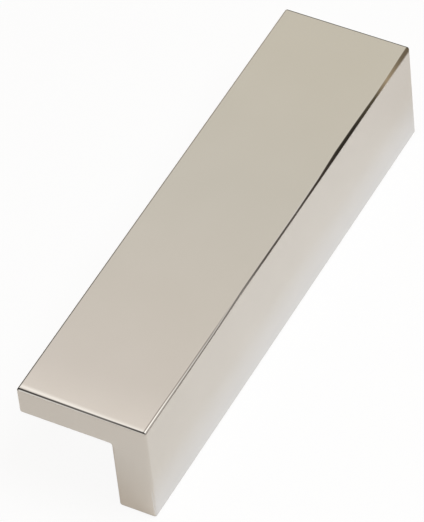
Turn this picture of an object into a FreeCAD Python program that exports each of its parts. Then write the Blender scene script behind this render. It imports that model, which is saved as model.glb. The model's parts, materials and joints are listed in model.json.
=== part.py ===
import FreeCAD, Part
import math
import os

# Tab pull in one piece: a flat flange standing off a drawer front on a full-length leg.
# X runs along the pull, Y across it and Z away from the drawer front.
# The origin is the centre of the foot, the leg's face against the drawer front.

# Section and length, in millimetres
overall_length = 101.6
flange_width = 25.4
projection = 22.2
flange_thickness = 6.0
leg_thickness = 7.3

# Edges: polishing eases every outside edge, and the inside corner keeps the cutter's radius
edge_radius = 0.5
inner_corner_radius = 0.4

# Two blind holes in the foot for 8-32 screws, drilled for the tap and countersunk past its thread
screw_spacing = 76.2
thread_major_diameter = 4.166
tap_drill_diameter = 3.454
hole_depth = 14.0
drill_point_angle = 118.0
countersink_clearance = 0.067
countersink_angle = 90.0

# Places that follow from those sizes
end_face = overall_length / 2
outer_face = leg_thickness / 2
inner_face = -leg_thickness / 2
free_edge = outer_face - flange_width
underside = projection - flange_thickness


def section_point(y, z):
    return FreeCAD.Vector(-end_face, y, z)


def inside_corner_arc():
    # A quarter turn that fills the corner between the leg's inner face and the flange's underside
    centre = section_point(inner_face - inner_corner_radius, underside - inner_corner_radius)
    diagonal = inner_corner_radius * math.sqrt(0.5)
    start = centre + FreeCAD.Vector(0, 0, inner_corner_radius)
    middle = centre + FreeCAD.Vector(0, diagonal, diagonal)
    end = centre + FreeCAD.Vector(0, inner_corner_radius, 0)
    return start, end, Part.Arc(start, middle, end).toShape()


def l_section():
    arc_start, arc_end, arc = inside_corner_arc()
    over_the_top = Part.makePolygon([
        section_point(inner_face, 0),
        section_point(outer_face, 0),
        section_point(outer_face, projection),
        section_point(free_edge, projection),
        section_point(free_edge, underside),
        arc_start,
    ])
    down_the_leg = Part.makeLine(arc_end, section_point(inner_face, 0))
    return Part.Face(Part.Wire(over_the_top.Edges + [arc, down_the_leg]))


def ease_outside_edges(bar):
    # The inside corner's two long seams are tangent, so they are the only edges left as they are
    corner = next(face for face in bar.Faces if isinstance(face.Surface, Part.Cylinder))
    seams = [edge for edge in corner.Edges if isinstance(edge.Curve, Part.Line)]
    outside = [edge for edge in bar.Edges if not any(edge.isSame(seam) for seam in seams)]
    return bar.makeFillet(edge_radius, outside)


def tapping_hole():
    # Half of the hole's section, turned about Z: countersink, drilled wall and drill point
    drill_radius = tap_drill_diameter / 2
    mouth_radius = thread_major_diameter / 2 + countersink_clearance
    mouth_depth = (mouth_radius - drill_radius) / math.tan(math.radians(countersink_angle / 2))
    point_height = drill_radius / math.tan(math.radians(drill_point_angle / 2))
    half_section = Part.makePolygon([
        FreeCAD.Vector(0, 0, 0),
        FreeCAD.Vector(mouth_radius, 0, 0),
        FreeCAD.Vector(drill_radius, 0, mouth_depth),
        FreeCAD.Vector(drill_radius, 0, hole_depth),
        FreeCAD.Vector(0, 0, hole_depth + point_height),
        FreeCAD.Vector(0, 0, 0),
    ])
    return Part.Face(half_section).revolve(FreeCAD.Vector(), FreeCAD.Vector(0, 0, 1), 360)


def pull_body():
    bar = l_section().extrude(FreeCAD.Vector(overall_length, 0, 0))
    body = ease_outside_edges(bar)
    hole = tapping_hole()
    for side in (-1, 1):
        place = FreeCAD.Vector(side * screw_spacing / 2, 0, 0)
        body = body.cut(hole.translated(place))
    return body


os.makedirs("parts", exist_ok=True)
body = pull_body()
body.exportStep("parts/pull_body.step")
print(f"pull_body: {len(body.Solids)} solid, {body.Volume:.1f} mm3, valid {body.isValid()}")
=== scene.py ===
import json
import math

import bpy
import numpy as np
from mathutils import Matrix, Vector


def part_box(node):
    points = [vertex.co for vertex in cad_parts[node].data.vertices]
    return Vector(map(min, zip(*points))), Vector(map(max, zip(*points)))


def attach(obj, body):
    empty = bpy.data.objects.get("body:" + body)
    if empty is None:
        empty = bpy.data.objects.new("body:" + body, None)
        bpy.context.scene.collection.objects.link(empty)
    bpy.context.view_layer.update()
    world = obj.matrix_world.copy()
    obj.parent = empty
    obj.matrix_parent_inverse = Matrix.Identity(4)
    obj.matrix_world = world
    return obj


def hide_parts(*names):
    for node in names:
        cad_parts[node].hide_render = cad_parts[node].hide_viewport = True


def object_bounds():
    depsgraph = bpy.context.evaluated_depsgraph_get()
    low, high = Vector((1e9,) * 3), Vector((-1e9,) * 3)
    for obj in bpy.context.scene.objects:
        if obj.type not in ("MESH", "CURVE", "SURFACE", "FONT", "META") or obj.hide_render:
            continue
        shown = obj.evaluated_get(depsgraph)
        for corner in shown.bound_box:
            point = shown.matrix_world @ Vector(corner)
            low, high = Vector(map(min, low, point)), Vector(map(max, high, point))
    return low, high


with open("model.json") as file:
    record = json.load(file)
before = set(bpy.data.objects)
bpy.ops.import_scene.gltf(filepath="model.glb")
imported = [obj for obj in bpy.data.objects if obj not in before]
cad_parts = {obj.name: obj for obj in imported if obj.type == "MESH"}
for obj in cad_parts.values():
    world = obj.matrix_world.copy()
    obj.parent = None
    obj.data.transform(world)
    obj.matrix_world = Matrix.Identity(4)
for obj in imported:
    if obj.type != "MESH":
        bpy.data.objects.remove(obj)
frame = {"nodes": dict(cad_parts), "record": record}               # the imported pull: one node on one body
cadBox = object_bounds()
mm = 0.001
scene = bpy.context.scene
print("frame loaded:", sorted(frame["nodes"]))


def linearColour(hexColour):
    # sRGB to linear light, channel by channel: a straight foot, then a power of 2.4
    value = np.array([int(hexColour[k:k + 2], 16) for k in (1, 3, 5)]) / 255
    light = np.where(value <= 0.04045, value / 12.92, ((value + 0.055) / 1.055) ** 2.4)
    return (*light.tolist(), 1.0)


def addNode(tree, kind, inputs=None, **settings):
    # one node with its settings; each input is a plain value or an output socket to link
    node = tree.nodes.new(kind)
    for name, value in settings.items():
        setattr(node, name, value)
    for name, value in (inputs or {}).items():
        if isinstance(value, bpy.types.NodeSocket):
            tree.links.new(value, node.inputs[name])
        else:
            node.inputs[name].default_value = value
    return node


def newMaterial(name):
    material = bpy.data.materials.new(name)
    material.use_nodes = True
    material.node_tree.nodes.clear()
    return material, material.node_tree


# The pull's own shape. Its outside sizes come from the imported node, the holes' places from the record.
pullShape = {
    "flangeThickness": 6.0 * mm,
    "edgeRadius": 0.5 * mm,         # every outside edge, eased by the buffing wheel
    "insideRadius": 0.4 * mm,       # under the flange, left by the cutter
    "arcSteps": 12,                 # facets in a quarter turn
    "squareSteps": 16,              # facets along each side of the square round a screw hole
}
plateSlot, footSlot, threadSlot = range(3)      # the order of the finishes on the mesh

# Two blind holes tapped 8-32
screwHole = {
    "pitch": 25.4 * mm / 32,
    "rootFlat": 25.4 * mm / 32 / 8,     # the flat bottom of the thread's groove
    "flankSlope": math.sqrt(3),     # depth over width of a flank, on a 60 degree thread
    "majorRadius": 4.166 * mm / 2,
    "mouthRadius": 4.3 * mm / 2,    # the 90 degree countersink at the foot
    "drillDepth": 14.0 * mm,
    "tappedDepth": 12.6 * mm,
    "runOut": 1.6 * mm,             # where the tap's chamfered end lets the thread fade
    "pointAngle": 118.0,
    "rowsPerTurn": 14,
    "ringSteps": 4,                 # rings of facets from the square to the mouth
    "pointSteps": 4,                # rings of facets down the drill point
}


def gridCells(rows, columns):
    # the four corners of each cell of a grid whose last column joins its first
    index = np.arange(rows * columns).reshape(rows, columns)
    index = np.hstack([index, index[:, :1]])
    return np.stack([index[:-1, :-1], index[:-1, 1:], index[1:, 1:], index[1:, :-1]], axis=-1)


def lSection(low, high):
    # each corner of the L becomes an arc, point = centre + radius * normal, while the normal swings
    # a quarter turn from one face's to the next one's; the inside corner has a negative radius
    underside = high.z - pullShape["flangeThickness"]
    corners = np.array([
        (high.y, low.z), (high.y, high.z), (low.y, high.z),
        (low.y, underside), (-high.y, underside), (-high.y, low.z),
    ])
    leaving = np.array([(1, 0), (0, 1), (-1, 0), (0, -1), (-1, 0), (0, -1)], float)
    arriving = np.roll(leaving, 1, axis=0)
    insideCorner = 4                # where the flange's underside meets the leg
    radii = np.full(len(corners), pullShape["edgeRadius"])
    radii[insideCorner] = -pullShape["insideRadius"]
    swing = np.linspace(0, np.pi / 2, pullShape["arcSteps"] + 1)[None, :, None]
    normals = np.cos(swing) * arriving[:, None] + np.sin(swing) * leaving[:, None]
    centres = corners - radii[:, None] * (arriving + leaving)
    points = centres[:, None] + radii[:, None, None] * normals
    foot = np.linspace(points[-1, -1], points[0, 0], pullShape["squareSteps"] + 1)[1:-1]
    outline = np.concatenate([points.reshape(-1, 2), foot])
    outlineNormals = np.concatenate([normals.reshape(-1, 2), np.tile((0.0, -1.0), (len(foot), 1))])
    return outline, outlineNormals


def sweptBody(low, high, holePlaces):
    # the section carried along X; at each end the edge is a quarter circle, where
    # x = half length - radius * (1 - sin(lean)) and the section is drawn in by radius * (1 - cos(lean))
    radius = pullShape["edgeRadius"]
    steps = pullShape["arcSteps"]
    across = pullShape["squareSteps"]
    outline, outlineNormals = lSection(low, high)
    square = np.linspace(radius - high.y, high.y - radius, across + 1)
    middle = np.concatenate([place + square for place in holePlaces])
    lean = np.linspace(np.pi / 2, 0, steps + 1)
    endX = high.x - radius * (1 - np.sin(lean))
    x = np.concatenate([-endX, middle, endX[::-1]])[:, None]
    lean = np.concatenate([-lean, np.zeros(len(middle)), lean[::-1]])[:, None]
    draw = radius * (1 - np.cos(lean))
    shape = (len(x), len(outline))
    points = np.stack([
        np.broadcast_to(x, shape),
        outline[:, 0] - draw * outlineNormals[:, 0],
        outline[:, 1] - draw * outlineNormals[:, 1],
    ], axis=-1)
    normals = np.stack([
        np.broadcast_to(np.sin(lean), shape),
        np.cos(lean) * outlineNormals[:, 0],
        np.cos(lean) * outlineNormals[:, 1],
    ], axis=-1)
    cells = gridCells(*shape)
    onFoot = np.zeros(cells.shape[:2], bool)
    onFoot[steps:-steps, -across:] = True
    kept = np.ones(cells.shape[:2], bool)
    for hole in range(len(holePlaces)):
        start = steps + 1 + hole * (across + 1)
        kept[start:start + across, -across:] = False    # left open for the ring round the hole
    plate = (points, normals, cells[kept & ~onFoot], plateSlot)
    foot = (points, normals, cells[kept & onFoot], footSlot)
    return plate, foot, points[0][::-1], points[-1]


def squareRing(place, half, low):
    # the flat foot round a hole: rings that go from a square to the countersink's circle,
    # point = (1 - t) * square point + t * circle point at the same bearing
    steps = pullShape["squareSteps"]
    side = np.linspace(-half, half, steps + 1)[:-1]
    edge = np.full(steps, half)
    square = np.concatenate([
        np.stack([-edge, side], 1), np.stack([side, edge], 1),
        np.stack([edge, -side], 1), np.stack([-side, -edge], 1),
    ])
    circle = screwHole["mouthRadius"] * square / np.linalg.norm(square, axis=1)[:, None]
    t = np.linspace(0, 1, screwHole["ringSteps"] + 1)[:, None, None]
    flat = (1 - t) * square + t * circle
    points = np.concatenate([flat, np.full((*flat.shape[:2], 1), low.z)], axis=-1)
    points[..., 0] += place
    normals = np.broadcast_to((0.0, 0.0, -1.0), points.shape)
    bearing = np.arctan2(square[:, 1], square[:, 0])
    return (points, normals, gridCells(*points.shape[:2]), footSlot), bearing


def tappedWall(place, bearing, low, drillRadius):
    # the hole's wall: radius = the larger of the countersink's cone and the thread's groove, where the
    # groove is a trapezium wave in depth / pitch - bearing / full turn; at the bottom it shrinks to a point
    pitch = screwHole["pitch"]
    tapped = screwHole["tappedDepth"]
    fullDepth = screwHole["majorRadius"] - drillRadius
    down = np.arange(0, tapped, pitch / screwHole["rowsPerTurn"])
    shrink = np.linspace(1, 0, screwHole["pointSteps"] + 1)
    pointHeight = drillRadius / math.tan(math.radians(screwHole["pointAngle"] / 2))
    pointDepth = screwHole["drillDepth"] + pointHeight * (1 - shrink)
    depth = np.concatenate([down, [tapped], pointDepth])[:, None]
    shrink = np.concatenate([np.ones(len(down) + 1), shrink])[:, None]
    phase = (depth / pitch - bearing / (2 * np.pi)) % 1
    fromRoot = np.abs(phase - 0.5) * pitch - screwHole["rootFlat"] / 2
    deepest = np.clip((tapped - depth) / screwHole["runOut"], 0, 1) * fullDepth
    groove = np.clip(fullDepth - screwHole["flankSlope"] * fromRoot, 0, deepest)
    radius = shrink * np.maximum(drillRadius + groove, screwHole["mouthRadius"] - depth)
    points = np.stack([
        place + radius * np.cos(bearing),
        radius * np.sin(bearing),
        np.broadcast_to(low.z + depth, radius.shape),
    ], axis=-1)
    around = np.roll(points, -1, axis=1) - np.roll(points, 1, axis=1)
    normals = np.cross(around, np.gradient(points, axis=0))
    normals[-1] = (0, 0, -1)        # the tip of the drill point
    normals /= np.linalg.norm(normals, axis=-1, keepdims=True)
    return points, normals, gridCells(*points.shape[:2]), threadSlot


def weldedMesh(name, patches, caps):
    # patches and two flat end caps stacked into one closed mesh: points on the same spot become one, a cell
    # with a repeated corner becomes a triangle, and each corner keeps the normal of its own patch
    sameSpot = 1e-7                 # a tenth of a micron
    grids, gridNormals, gridFaces, gridSlots = zip(*patches)
    starts = np.cumsum([0] + [grid.size // 3 for grid in grids])
    points = np.concatenate([grid.reshape(-1, 3) for grid in grids] + caps)
    normals = np.concatenate([grid.reshape(-1, 3) for grid in gridNormals])
    cells = np.concatenate([grid.reshape(-1, 4) + start for grid, start in zip(gridFaces, starts)])
    slots = np.concatenate([np.full(grid.size // 4, slot) for grid, slot in zip(gridFaces, gridSlots)])
    spots = np.round(points / sameSpot)
    first, welded = np.unique(spots, axis=0, return_index=True, return_inverse=True)[1:]
    welded = welded.reshape(-1)
    corners = welded[cells]
    distinct = corners != np.roll(corners, -1, axis=1)
    whole = distinct.all(axis=1)
    quads = corners[whole]
    triangles = corners[~whole][distinct[~whole]].reshape(-1, 3)
    cornerNormals = [normals[cells[whole]].reshape(-1, 3), normals[cells[~whole]][distinct[~whole]]]
    slots = [slots[whole], slots[~whole]]
    loops = []
    capStart = starts[-1]
    for cap in caps:
        loop = welded[capStart:capStart + len(cap)]
        loop = loop[loop != np.roll(loop, 1)]
        loops.append(loop)
        cornerNormals.append(np.tile((np.sign(cap[0, 0]), 0.0, 0.0), (len(loop), 1)))
        slots.append([plateSlot])
        capStart += len(cap)
    used = np.unique(np.concatenate([quads.ravel(), triangles.ravel(), *loops]))
    newIndex = np.zeros(len(first), int)
    newIndex[used] = np.arange(len(used))
    faces = newIndex[quads].tolist() + newIndex[triangles].tolist()
    faces += [newIndex[loop].tolist() for loop in loops]
    mesh = bpy.data.meshes.new(name)
    mesh.from_pydata(points[first[used]].tolist(), [], faces)
    mesh.polygons.foreach_set("material_index", np.concatenate(slots).astype(np.int32))
    mesh.polygons.foreach_set("use_smooth", np.ones(len(faces), bool))
    mesh.update()
    mesh.normals_split_custom_set(np.concatenate(cornerNormals).tolist())
    return mesh


def pullBody():
    # the bar, then a flat ring and a tapped wall for each screw hole, welded into one piece
    low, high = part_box("pull_body")
    mounts = frame["record"]["mounts"]
    screws = next(mount["dims"] for mount in mounts if mount["kind"] == "bolt_pattern")
    halfSpacing = screws["spacing_x_mm"] * mm / 2
    holePlaces = (-halfSpacing, halfSpacing)
    plate, foot, farCap, nearCap = sweptBody(low, high, holePlaces)
    patches = [plate, foot]
    for place in holePlaces:
        ring, bearing = squareRing(place, high.y - pullShape["edgeRadius"], low)
        patches += [ring, tappedWall(place, bearing, low, screws["hole_r_mm"] * mm)]
    mesh = weldedMesh("pullBody", patches, [farCap, nearCap])
    piece = bpy.data.objects.new("pullBody", mesh)
    scene.collection.objects.link(piece)
    return piece


# Bright nickel plate on buffed brass: a pale warm mirror, faintly uneven from the wheel and the bath
brightNickel = {
    "paleHex": "#D3CEC7",
    "deepHex": "#CFCAC2",
    "cloudSize": 12 * mm,           # slow changes in tone
    "cloudDetail": 2.0,             # octaves of noise, here and below
    "rippleSize": 6 * mm,           # the wheel leaves the flats a little wavy
    "rippleDetail": 1.0,
    "rippleHeight": 0.0016 * mm,
    "lineGap": 0.3 * mm,            # buffing lines, really a few hundredths apart, drawn coarser to show
    "lineLength": 20 * mm,
    "lineDetail": 3.0,
    "lineHeight": 0.00004 * mm,
    "smoothest": 0.05,
    "roughest": 0.09,
}


def buffedNickelPlate():
    material, tree = newMaterial("buffedNickelPlate")
    place = addNode(tree, "ShaderNodeTexCoord").outputs["Object"]
    cloud = addNode(tree, "ShaderNodeTexNoise", {
        "Vector": place, "Scale": 1 / brightNickel["cloudSize"], "Detail": brightNickel["cloudDetail"]})
    tone = addNode(tree, "ShaderNodeMix", {
        "Factor": cloud.outputs["Fac"],
        "A": linearColour(brightNickel["paleHex"]),
        "B": linearColour(brightNickel["deepHex"])}, data_type="RGBA")
    gap, length = brightNickel["lineGap"], brightNickel["lineLength"]
    stretched = addNode(tree, "ShaderNodeMapping", {
        "Vector": place, "Scale": (1 / length, 1 / gap, 1 / gap)})
    lines = addNode(tree, "ShaderNodeTexNoise", {
        "Vector": stretched.outputs["Vector"], "Scale": 1.0, "Detail": brightNickel["lineDetail"]})
    gloss = addNode(tree, "ShaderNodeMapRange", {
        "Value": lines.outputs["Fac"],
        "To Min": brightNickel["smoothest"], "To Max": brightNickel["roughest"]})
    ripple = addNode(tree, "ShaderNodeTexNoise", {
        "Vector": place, "Scale": 1 / brightNickel["rippleSize"], "Detail": brightNickel["rippleDetail"]})
    wavy = addNode(tree, "ShaderNodeBump", {
        "Height": ripple.outputs["Fac"], "Distance": brightNickel["rippleHeight"]})
    buffed = addNode(tree, "ShaderNodeBump", {
        "Height": lines.outputs["Fac"], "Distance": brightNickel["lineHeight"],
        "Normal": wavy.outputs["Normal"]})
    metal = addNode(tree, "ShaderNodeBsdfPrincipled", {
        "Base Color": tone.outputs["Result"], "Metallic": 1.0,
        "Roughness": gloss.outputs["Result"], "Normal": buffed.outputs["Normal"]})
    addNode(tree, "ShaderNodeOutputMaterial", {"Surface": metal.outputs["BSDF"]})
    return material


# The foot is belt ground flat before plating: the same metal, duller, with straight scratches along it
groundFoot = {
    "paleHex": "#C4BEB4",
    "deepHex": "#AFA89C",
    "scratchGap": 0.12 * mm,        # the grain of a 120 grit belt
    "scratchLength": 9 * mm,
    "scratchDetail": 4.0,           # octaves of noise
    "scratchHeight": 0.002 * mm,
    "smoothest": 0.26,
    "roughest": 0.42,
}


def beltGroundNickelFoot():
    material, tree = newMaterial("beltGroundNickelFoot")
    place = addNode(tree, "ShaderNodeTexCoord").outputs["Object"]
    gap, length = groundFoot["scratchGap"], groundFoot["scratchLength"]
    stretched = addNode(tree, "ShaderNodeMapping", {
        "Vector": place, "Scale": (1 / length, 1 / gap, 1 / gap)})
    scratches = addNode(tree, "ShaderNodeTexNoise", {
        "Vector": stretched.outputs["Vector"], "Scale": 1.0, "Detail": groundFoot["scratchDetail"]})
    tone = addNode(tree, "ShaderNodeMix", {
        "Factor": scratches.outputs["Fac"],
        "A": linearColour(groundFoot["paleHex"]),
        "B": linearColour(groundFoot["deepHex"])}, data_type="RGBA")
    gloss = addNode(tree, "ShaderNodeMapRange", {
        "Value": scratches.outputs["Fac"],
        "To Min": groundFoot["smoothest"], "To Max": groundFoot["roughest"]})
    ground = addNode(tree, "ShaderNodeBump", {
        "Height": scratches.outputs["Fac"], "Distance": groundFoot["scratchHeight"]})
    metal = addNode(tree, "ShaderNodeBsdfPrincipled", {
        "Base Color": tone.outputs["Result"], "Metallic": 1.0,
        "Roughness": gloss.outputs["Result"], "Normal": ground.outputs["Normal"]})
    addNode(tree, "ShaderNodeOutputMaterial", {"Surface": metal.outputs["BSDF"]})
    return material


# The tapped thread is cut brass with hardly any plate down the hole: yellower, with fine cutting marks
cutThread = {
    "paleHex": "#C9B687",
    "deepHex": "#A58F5E",
    "markSize": 0.25 * mm,
    "markDetail": 3.0,              # octaves of noise
    "markHeight": 0.004 * mm,
    "smoothest": 0.22,
    "roughest": 0.38,
}


def tappedBrassThread():
    material, tree = newMaterial("tappedBrassThread")
    place = addNode(tree, "ShaderNodeTexCoord").outputs["Object"]
    marks = addNode(tree, "ShaderNodeTexNoise", {
        "Vector": place, "Scale": 1 / cutThread["markSize"], "Detail": cutThread["markDetail"]})
    tone = addNode(tree, "ShaderNodeMix", {
        "Factor": marks.outputs["Fac"],
        "A": linearColour(cutThread["paleHex"]),
        "B": linearColour(cutThread["deepHex"])}, data_type="RGBA")
    gloss = addNode(tree, "ShaderNodeMapRange", {
        "Value": marks.outputs["Fac"],
        "To Min": cutThread["smoothest"], "To Max": cutThread["roughest"]})
    cut = addNode(tree, "ShaderNodeBump", {
        "Height": marks.outputs["Fac"], "Distance": cutThread["markHeight"]})
    metal = addNode(tree, "ShaderNodeBsdfPrincipled", {
        "Base Color": tone.outputs["Result"], "Metallic": 1.0,
        "Roughness": gloss.outputs["Result"], "Normal": cut.outputs["Normal"]})
    addNode(tree, "ShaderNodeOutputMaterial", {"Surface": metal.outputs["BSDF"]})
    return material


pull = pullBody()
for finish in (buffedNickelPlate(), beltGroundNickelFoot(), tappedBrassThread()):
    pull.data.materials.append(finish)
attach(pull, "root")
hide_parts("pull_body")
print("pull built:", len(pull.data.polygons), "faces")


# White floor and room: the camera sees them white, the metal mirrors them, and the floor keeps a soft shadow
studio = {
    "whiteHex": "#FFFFFF",
    "floorHex": "#F4F3F1",
    "floorHalf": 3.0,               # metres from the middle to each side
    "floorDrop": 0.02 * mm,         # clear of the foot, which lies at zero
    "floorShown": 0.92,             # how far the camera's view of the floor is lifted to white
    "floorMirrored": 0.2,           # and the metal's view of it
    "roomLight": 0.47,
    "roomHex": "#FFECD6",           # the light that fills the shadows, a little warm
    "keyHex": "#ECF5FF",
    "keyPlace": (-14, 110, 300),    # mm, above the leg's outer face
    "keySize": 180.0,               # mm across, for a soft shadow
    "keyPower": 0.65,
}


def whiteFloor():
    # a square sheet with the foot's own rectangle cut out of it, so that the foot shows from below
    material, tree = newMaterial("whitePaperFloor")
    ray = addNode(tree, "ShaderNodeLightPath").outputs
    lifts = {
        "Is Camera Ray": studio["floorShown"],
        "Is Glossy Ray": studio["floorMirrored"],
        "Is Transmission Ray": studio["floorMirrored"],
    }
    seen = 0.0
    for kind, lift in lifts.items():
        total = addNode(tree, "ShaderNodeMath", {0: ray[kind], 1: lift, 2: seen}, operation="MULTIPLY_ADD")
        seen = total.outputs["Value"]
    paper = addNode(tree, "ShaderNodeBsdfDiffuse", {"Color": linearColour(studio["floorHex"])})
    white = addNode(tree, "ShaderNodeEmission", {"Color": linearColour(studio["whiteHex"])})
    lifted = addNode(tree, "ShaderNodeMixShader", {
        "Fac": seen, 1: paper.outputs["BSDF"], 2: white.outputs["Emission"]})
    clear = addNode(tree, "ShaderNodeBsdfTransparent")
    below = addNode(tree, "ShaderNodeNewGeometry").outputs["Backfacing"]    # clear from underneath
    oneSided = addNode(tree, "ShaderNodeMixShader", {
        "Fac": below, 1: lifted.outputs["Shader"], 2: clear.outputs["BSDF"]})
    addNode(tree, "ShaderNodeOutputMaterial", {"Surface": oneSided.outputs["Shader"]})
    low, high = cadBox
    height = low[2] - studio["floorDrop"]
    square = np.array([(-1, -1), (1, -1), (1, 1), (-1, 1)])
    foot = np.array([high[0], high[1]]) - pullShape["edgeRadius"]
    outline = np.concatenate([square * studio["floorHalf"], square * foot])
    points = np.column_stack([outline, np.full(len(outline), height)])
    mesh = bpy.data.meshes.new("studioFloor")
    mesh.from_pydata(points.tolist(), [], gridCells(2, len(square)).reshape(-1, 4).tolist())
    mesh.materials.append(material)
    floor = bpy.data.objects.new("studioFloor", mesh)
    scene.collection.objects.link(floor)


def whiteRoom():
    world = bpy.data.worlds.new("studioRoom")
    scene.world = world
    world.use_nodes = True
    tree = world.node_tree
    tree.nodes.clear()
    ray = addNode(tree, "ShaderNodeLightPath").outputs
    seen = 0.0
    for kind in ("Is Camera Ray", "Is Glossy Ray", "Is Transmission Ray"):
        either = addNode(tree, "ShaderNodeMath", {0: ray[kind], 1: seen}, operation="MAXIMUM")
        seen = either.outputs["Value"]
    fill = addNode(tree, "ShaderNodeBackground", {
        "Color": linearColour(studio["roomHex"]), "Strength": studio["roomLight"]})
    white = addNode(tree, "ShaderNodeBackground", {
        "Color": linearColour(studio["whiteHex"]), "Strength": 1.0})
    room = addNode(tree, "ShaderNodeMixShader", {
        "Fac": seen, 1: fill.outputs["Background"], 2: white.outputs["Background"]})
    addNode(tree, "ShaderNodeOutputWorld", {"Surface": room.outputs["Shader"]})


def keyLamp():
    lamp = bpy.data.lights.new("softKey", "AREA")
    lamp.shape = "DISK"
    lamp.size = studio["keySize"] * mm
    lamp.energy = studio["keyPower"]
    lamp.color = linearColour(studio["keyHex"])[:3]
    key = bpy.data.objects.new("softKey", lamp)
    key.location = Vector(studio["keyPlace"]) * mm
    key.rotation_euler = key.location.to_track_quat("Z", "Y").to_euler()
    key.visible_camera = False
    scene.collection.objects.link(key)


# Cards round the set that only the metal sees: glowing sheets, no lamps, whose mirror images are painted
# reflections and painted light. Each has its opacity at its two borders, then columns from one end to the
# other: the column's point on each border in mm, sRGB hex and brightness
studioCards = {
    # painted reflection overhead: near white towards the pull, greyer and warmer further off, so the top face
    # is lighter at its near end
    "ceilingCard": ((1.0, 1.0), (
        ((-146, -480, 400), (-146, 120, 400), "#FFFFFF", 1.2),
        ((-220, -480, 400), (-220, 120, 400), "#FFFAF6", 1.12),
        ((-232, -480, 400), (-232, 120, 400), "#F9F4F1", 1.0),
        ((-256, -480, 400), (-256, 120, 400), "#F5F1EC", 1.0),
        ((-311, -480, 400), (-311, 120, 400), "#EFEDE6", 1.0),
        ((-371, -480, 400), (-371, 120, 400), "#EEEBE0", 1.0),
        ((-640, -480, 400), (-640, 120, 400), "#EDE9DF", 1.0),
    )),
    # painted highlight: a sheet overhead, brighter than white and no lamp, mirrored as bright lines on the
    # rounded edges
    "overheadPaintedHighlight": ((1.0, 1.0), (
        ((-130, -320, 400), (-130, -60, 400), "#FFFFFF", 1.6),
        ((330, -320, 400), (330, -60, 400), "#FFFFFF", 1.6),
    )),
    # painted light: a glowing strip on the floor along the leg's foot, fading outward, that makes the leg's
    # outer face brighter towards its foot
    "legGlow": ((0.5, 0.0), (
        ((56, 3.8, 0.1), (56, 8.5, 0.1), "#EEF4FF", 1.25),
        ((-62, 3.8, 0.1), (-62, 8.5, 0.1), "#EEF4FF", 1.25),
    )),
    # painted light: a faint glowing sheet on the floor before the near end, fading away from it, that
    # lightens the shade the end face mirrors near its foot
    "endGlow": ((0.25, 0.0), (
        ((51, 6, 0.1), (60, 6, 0.1), "#FFF4E8", 1.0),
        ((51, -40, 0.1), (60, -40, 0.1), "#FFF4E8", 1.0),
    )),
}

# Hoods curl close round the flange's top edges, whose rounding mirrors them as painted dark lines and painted
# highlights.
# Each has the way it faces, its reach in mm from the middle of the rounding and its brightness, then columns
# along the edge: place in mm, lowest and highest angle above the horizontal in degrees, sRGB hex and opacity.
# Two that face the same way keep apart in angle or in reach
edgeHoods = {
    # painted dark line along the near end's top edge
    "nearHood": ((1, 0), 1.0, 1.0, (
        (-26, 51, 125, "#0C0907", 1.0),
        (-5, 30, 104, "#2A2420", 0.86),
        (5, 27, 100, "#2A2420", 0.95),
    )),
    # painted highlight on the near end's top edge and the top face just beside it, brighter than white
    "nearGlint": ((1, 0), 3.0, 1.6, (
        (-24, 118, 141, "#FFFFFF", 1.0),
        (-6, 108, 134, "#FFFFFF", 0.75),
        (4, 108, 132, "#FFFFFF", 0.7),
    )),
    # painted dark streak along the long top edge over the leg, its tone changing along it
    "sideHood": ((0, 1), 1.0, 1.0, (
        (53, -18, 56, "#6A6058", 0.45),
        (45, -18, 55, "#6A6058", 0.48),
        (36, -20, 45, "#5A5048", 0.72),
        (26, -16, 48, "#4A4038", 0.74),
        (14, 4, 90, "#3A3028", 0.7),
        (6, -11, 78, "#3A3028", 0.88),
        (-6, -32, 63, "#3A3028", 0.88),
        (-15, -45, 72, "#3A3028", 0.96),
        (-22, -46, 110, "#3C3832", 1.0),
        (-29, -46, 105, "#3C3832", 1.0),
        (-37, -47, 80, "#625C4C", 1.0),
        (-42, -50, 87, "#BEAE94", 1.0),
        (-48, -55, 109, "#857A68", 1.0),
        (-54, -56, 116, "#756A5A", 1.0),
    )),
    # a second painted dark line, higher on the rounding, at the near end only
    "sideHoodOver": ((0, 1), 1.0, 1.0, (
        (53, 84, 118, "#6A6058", 0.7),
        (45, 82, 117, "#6A6058", 0.7),
        (36, 60, 112, "#5A5048", 0.5),
        (26, 58, 97, "#4A4038", 1.0),
        (16, 80, 100, "#4A4038", 0.0),
    )),
    # painted highlight between the two painted dark lines at the near end, brighter than white
    "sideGlint": ((0, 1), 1.1, 2.0, (
        (53, 50, 90, "#FFFFFF", 1.0),
        (46, 52, 86, "#FFFFFF", 0.9),
        (37, 48, 82, "#FFFFFF", 0.0),
    )),
    # painted dark line along the far end's top edge
    "farHood": ((-1, 0), 1.0, 1.0, (
        (-26, 0, 64, "#1E1A17", 1.0),
        (5, 0, 64, "#1E1A17", 1.0),
    )),
    # painted dark line along the flange's free top edge, fading to pale towards the far end
    "backHood": ((0, -1), 1.0, 1.0, (
        (53, 0, 62, "#1E1A17", 1.0),
        (-53, 0, 62, "#B0A89C", 1.0),
    )),
}
hoodShape = {
    "rows": 25,
    "fade": 18.0,                   # degrees over which each border fades
}
cardSight = {
    "studio": 5.0,                  # metres from which a card is seen, well past the whole set
    "hood": 1.4,                    # reaches from which a hood is seen, so mostly by the rounded edges
    "fadeFrom": 0.75,               # share of that distance at which it starts to fade
}


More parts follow.
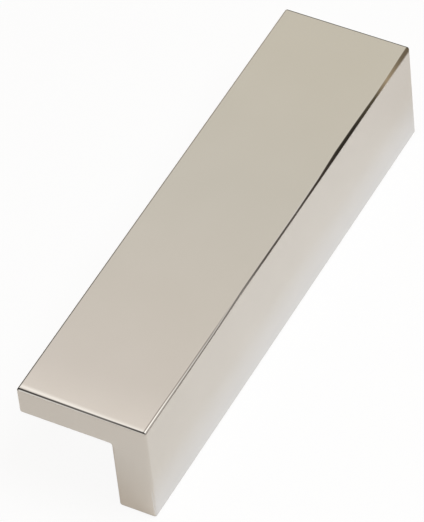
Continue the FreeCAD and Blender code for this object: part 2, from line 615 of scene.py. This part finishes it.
def hangCard(name, points, shades, sight):
    # a grid of points with a colour and an opacity at each; the metal sees it from nearer than sight,
    # and the floor and the camera don't see it
    mesh = bpy.data.meshes.new(name)
    cells = gridCells(*points.shape[:2])[:, :-1]
    mesh.from_pydata(points.reshape(-1, 3).tolist(), [], cells.reshape(-1, 4).tolist())
    tones = mesh.color_attributes.new("tone", "FLOAT_COLOR", "POINT")
    tones.data.foreach_set("color", shades.ravel())
    material, tree = newMaterial(name)
    tone = addNode(tree, "ShaderNodeAttribute", attribute_name="tone")
    ray = addNode(tree, "ShaderNodeLightPath").outputs
    near = addNode(tree, "ShaderNodeMapRange", {
        "Value": ray["Ray Length"],
        "From Min": cardSight["fadeFrom"] * sight, "From Max": sight, "To Min": 1.0, "To Max": 0.0})
    shown = addNode(tree, "ShaderNodeMath", {
        0: tone.outputs["Alpha"], 1: near.outputs["Result"]}, operation="MULTIPLY")
    direct = addNode(tree, "ShaderNodeMath", {
        0: 1.0, 1: ray["Diffuse Depth"]}, operation="SUBTRACT", use_clamp=True)
    shown = addNode(tree, "ShaderNodeMath", {
        0: shown.outputs["Value"], 1: direct.outputs["Value"]}, operation="MULTIPLY")
    glow = addNode(tree, "ShaderNodeEmission", {"Color": tone.outputs["Color"]})
    clear = addNode(tree, "ShaderNodeBsdfTransparent")
    card = addNode(tree, "ShaderNodeMixShader", {
        "Fac": shown.outputs["Value"], 1: clear.outputs["BSDF"], 2: glow.outputs["Emission"]})
    addNode(tree, "ShaderNodeOutputMaterial", {"Surface": card.outputs["Shader"]})
    mesh.materials.append(material)
    hung = bpy.data.objects.new(name, mesh)
    hung.visible_camera = False
    hung.visible_diffuse = False
    hung.visible_shadow = False
    scene.collection.objects.link(hung)


def studioCard(name, opacity, columns):
    # straight across each column, from its point on one border to its point on the other, in one colour
    oneBorder, otherBorder, hexColours, brightness = zip(*columns)
    points = np.array([oneBorder, otherBorder]) * mm
    tones = np.array([linearColour(colour)[:3] for colour in hexColours]) * np.array(brightness)[:, None]
    fade = np.tile(np.array(opacity)[:, None], len(columns))
    shades = np.dstack([np.broadcast_to(tones, points.shape), fade])
    hangCard(name, points, shades, cardSight["studio"])


def edgeHood(name, outward, reach, brightness, columns):
    # point = middle of the edge's rounding at the place + reach * (cos(angle) * outward + sin(angle) * up);
    # the opacity rises smoothly from both borders
    low, high = (np.array(corner) for corner in cadBox)
    radius = pullShape["edgeRadius"]
    reach = reach * mm
    outward = np.array(outward)
    edge = np.where(outward > 0, high[:2] - radius, low[:2] + radius) * np.abs(outward)
    place, lowest, highest, hexColours, opacity = zip(*columns)
    place, lowest, highest, opacity = np.array([place, lowest, highest, opacity])
    angle = lowest + np.linspace(0, 1, hoodShape["rows"])[:, None] * (highest - lowest)
    rise = np.clip(np.minimum(angle - lowest, highest - angle) / hoodShape["fade"], 0, 1)
    angle = np.radians(angle)
    flat = edge + place[:, None] * mm * np.abs(outward[::-1]) + reach * np.cos(angle)[..., None] * outward
    points = np.dstack([flat, high[2] - radius + reach * np.sin(angle)])
    tones = np.array([linearColour(colour)[:3] for colour in hexColours]) * brightness
    shades = np.dstack([np.broadcast_to(tones, points.shape), rise * rise * (3 - 2 * rise) * opacity])
    hangCard(name, points, shades, cardSight["hood"] * reach)


whiteFloor()
whiteRoom()
keyLamp()
for name, (opacity, columns) in studioCards.items():
    studioCard(name, opacity, columns)
for name, (outward, reach, brightness, columns) in edgeHoods.items():
    edgeHood(name, outward, reach, brightness, columns)
print("studio set up:", len(studioCards), "cards and", len(edgeHoods), "hoods")

# The photograph's viewpoint, fitted to the pull's outline
viewpoint = {
    "location": (0.50985, 0.31489, 0.65936),    # metres
    "turn": (42.7449, 4.4452, 117.8324),        # degrees
    "lens": 342.67,
    "sensor": 36.0,
}
camera = bpy.data.objects.new("camera", bpy.data.cameras.new("camera"))
camera.location = viewpoint["location"]
camera.rotation_euler = [math.radians(angle) for angle in viewpoint["turn"]]
camera.data.lens = viewpoint["lens"]
camera.data.sensor_width = viewpoint["sensor"]
scene.collection.objects.link(camera)
scene.camera = camera
scene.view_settings.view_transform = "Standard"
print("camera placed")
